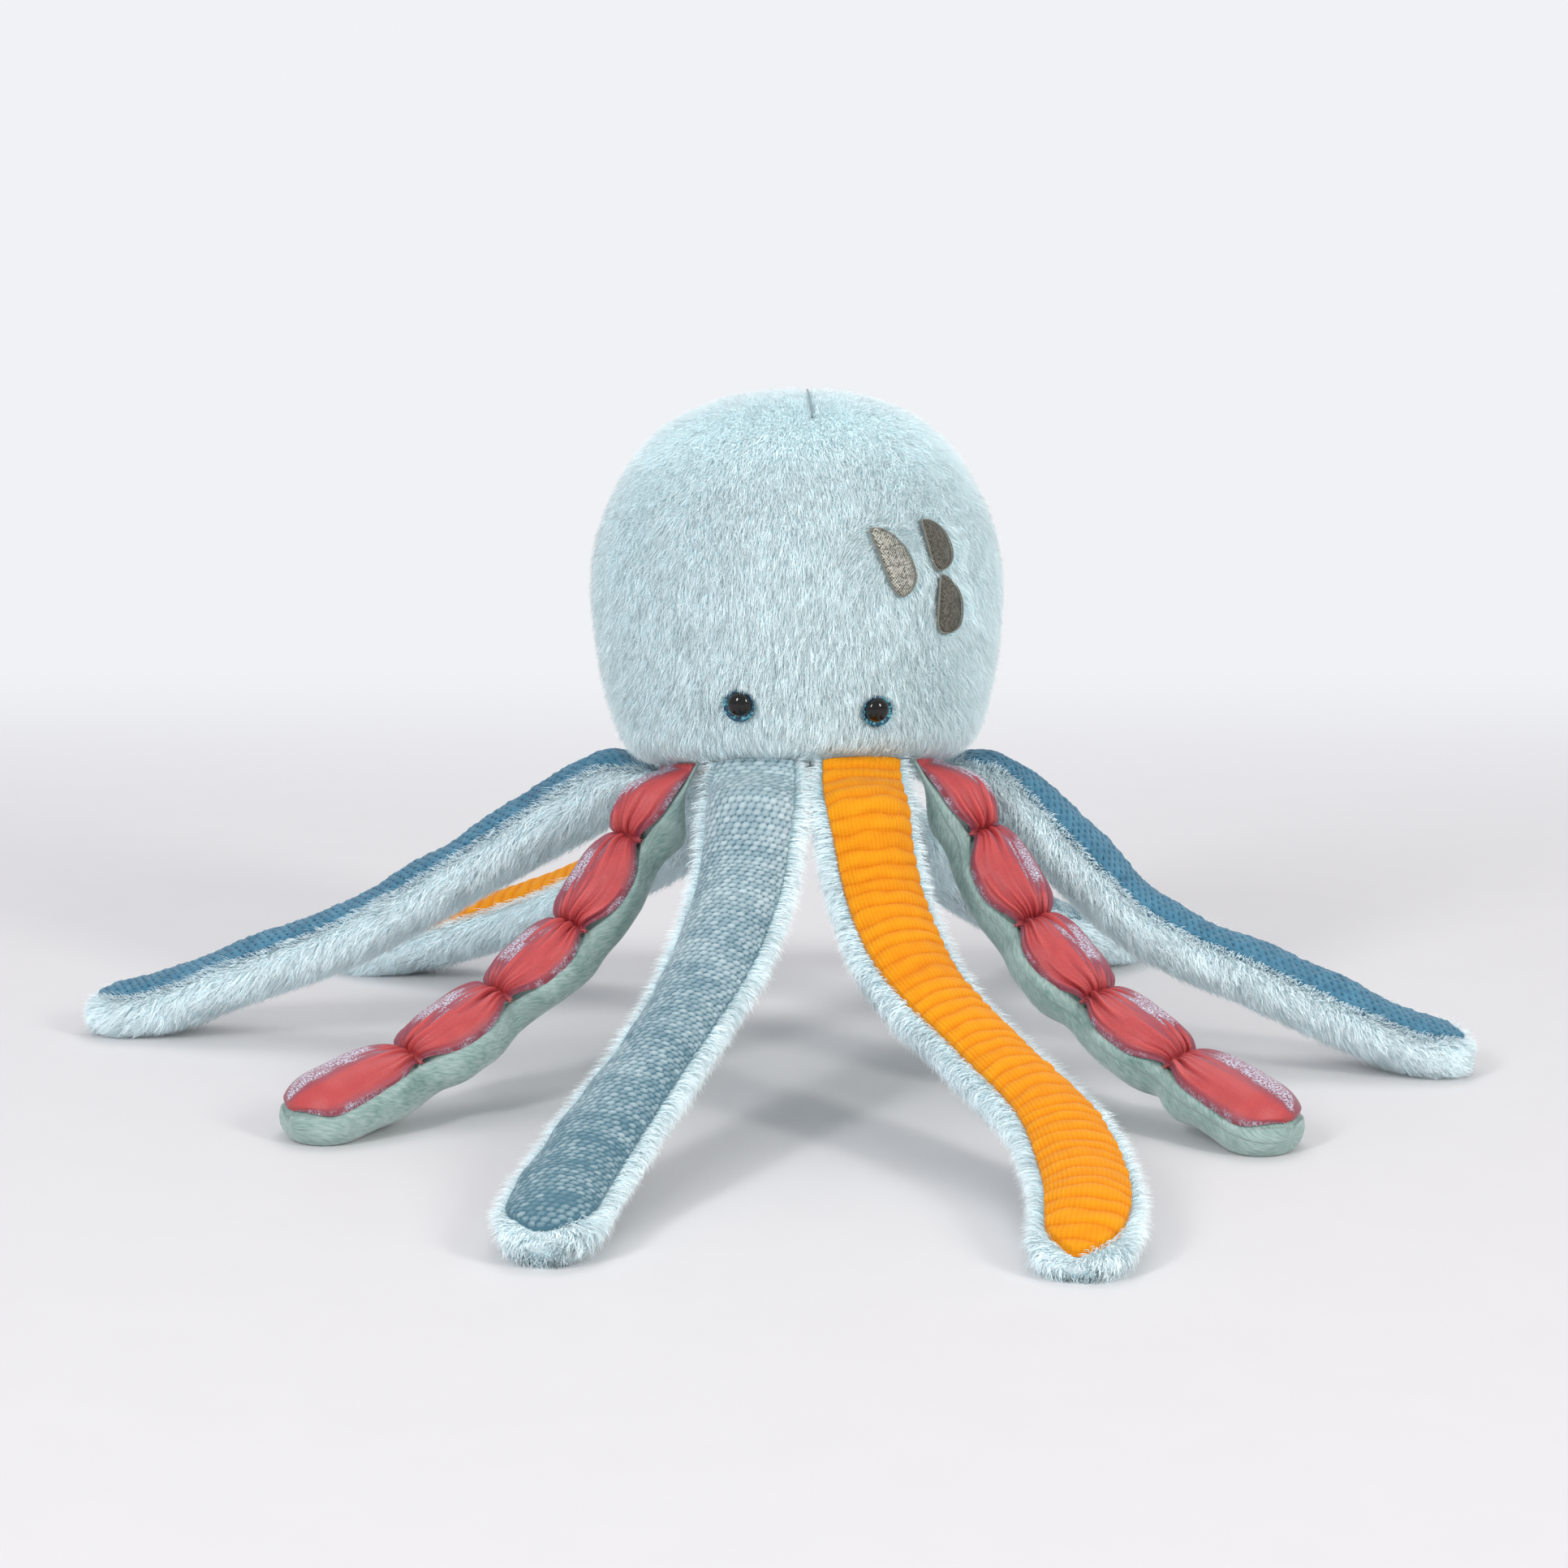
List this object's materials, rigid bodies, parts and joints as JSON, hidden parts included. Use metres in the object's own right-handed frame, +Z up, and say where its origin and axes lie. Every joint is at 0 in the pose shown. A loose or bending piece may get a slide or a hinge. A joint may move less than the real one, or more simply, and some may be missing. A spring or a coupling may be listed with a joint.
{
  "type": "plush octopus",
  "caption": "Stuffed octopus with a round fur head, glossy eyes, sparkling spots and curving two-sided limbs in knit, ribbed, gathered satin and waffle fabrics that fan out to the floor.",
  "frame": {"origin": "on the floor under the middle of the toy's box", "axes": "+Z up, +X to the right of a viewer who looks at the face, which points towards -Y"},
  "size_m": [0.6982, 0.6116, 0.3365],
  "materials": {
    "plush": "long soft pile, matte",
    "velvet": "short dense pile, matte",
    "knit": "bobbled knit, matte",
    "orange": "ribbed jersey, matte",
    "satin": "satin with a metallic thread, soft sheen",
    "waffle": "waffle knit, matte",
    "filling": "loose polyester fibre",
    "thread": "sewing thread, slight sheen",
    "lurex": "metallic woven thread, sparkling",
    "black": "polished",
    "glitter": "glitter film",
    "washer": "moulded"
  },
  "bodies": {
    "head": {"head_front_panel": "plush", "head_back_panel": "plush", "head_base_panel": "plush", "head_filling": "filling", "eye_left": "black", "eye_disc_left": "glitter", "eye_washer_left": "washer", "eye_right": "black", "eye_disc_right": "glitter", "eye_washer_right": "washer", "spot_large": "lurex", "spot_upper": "lurex", "spot_lower": "lurex"},
    "tentacle_front_left": {"tentacle_front_left_face": "knit", "tentacle_front_left_back": "plush", "tentacle_front_left_filling": "filling"},
    "tentacle_front_right": {"tentacle_front_right_face": "orange", "tentacle_front_right_back": "plush", "tentacle_front_right_filling": "filling"},
    "tentacle_coral_left": {"tentacle_coral_left_face": "satin", "tentacle_coral_left_back": "velvet", "tentacle_coral_left_filling": "filling", "tentacle_coral_left_thread_1": "thread", "tentacle_coral_left_thread_2": "thread", "tentacle_coral_left_thread_3": "thread", "tentacle_coral_left_thread_4": "thread"},
    "tentacle_coral_right": {"tentacle_coral_right_face": "satin", "tentacle_coral_right_back": "velvet", "tentacle_coral_right_filling": "filling", "tentacle_coral_right_thread_1": "thread", "tentacle_coral_right_thread_2": "thread", "tentacle_coral_right_thread_3": "thread", "tentacle_coral_right_thread_4": "thread"},
    "tentacle_blue_left": {"tentacle_blue_left_face": "waffle", "tentacle_blue_left_back": "plush", "tentacle_blue_left_filling": "filling"},
    "tentacle_blue_right": {"tentacle_blue_right_face": "waffle", "tentacle_blue_right_back": "plush", "tentacle_blue_right_filling": "filling"},
    "tentacle_back_left": {"tentacle_back_left_face": "orange", "tentacle_back_left_back": "plush", "tentacle_back_left_filling": "filling"},
    "tentacle_back_right": {"tentacle_back_right_face": "knit", "tentacle_back_right_back": "plush", "tentacle_back_right_filling": "filling"}
  },
  "joints": [
    {"name": "front_left_root", "type": "hinge", "parent": "head", "child": "tentacle_front_left", "pos_m": [-0.00454, 0.00056, 0.15967], "axis": [-0.9412, 0.3268, -0.0859], "range_deg": [-17, 55]},
    {"name": "front_right_root", "type": "hinge", "parent": "head", "child": "tentacle_front_right", "pos_m": [0.0459, 0.0032, 0.16037], "axis": [-0.9039, -0.4235, 0.0601], "range_deg": [-17, 55]},
    {"name": "coral_left_root", "type": "hinge", "parent": "head", "child": "tentacle_coral_left", "pos_m": [-0.04195, 0.03371, 0.15235], "axis": [-0.4271, 0.8858, -0.1816], "range_deg": [-30, 50]},
    {"name": "coral_right_root", "type": "hinge", "parent": "head", "child": "tentacle_coral_right", "pos_m": [0.07983, 0.04009, 0.15406], "axis": [-0.3371, -0.9258, 0.1709], "range_deg": [-30, 50]},
    {"name": "blue_left_root", "type": "hinge", "parent": "head", "child": "tentacle_blue_left", "pos_m": [-0.04441, 0.08323, 0.14272], "axis": [0.3371, 0.9258, -0.1709], "range_deg": [-30, 8]},
    {"name": "blue_right_root", "type": "hinge", "parent": "head", "child": "tentacle_blue_right", "pos_m": [0.07736, 0.08962, 0.14442], "axis": [0.4271, -0.8858, 0.1816], "range_deg": [-30, 15]},
    {"name": "back_left_root", "type": "hinge", "parent": "head", "child": "tentacle_back_left", "pos_m": [-0.01048, 0.12012, 0.1364], "axis": [0.9039, 0.4235, -0.0601], "range_deg": [-40, 35]},
    {"name": "back_right_root", "type": "hinge", "parent": "head", "child": "tentacle_back_right", "pos_m": [0.03996, 0.12277, 0.13711], "axis": [0.9412, -0.3268, 0.0859], "range_deg": [-40, 35]}
  ]
}
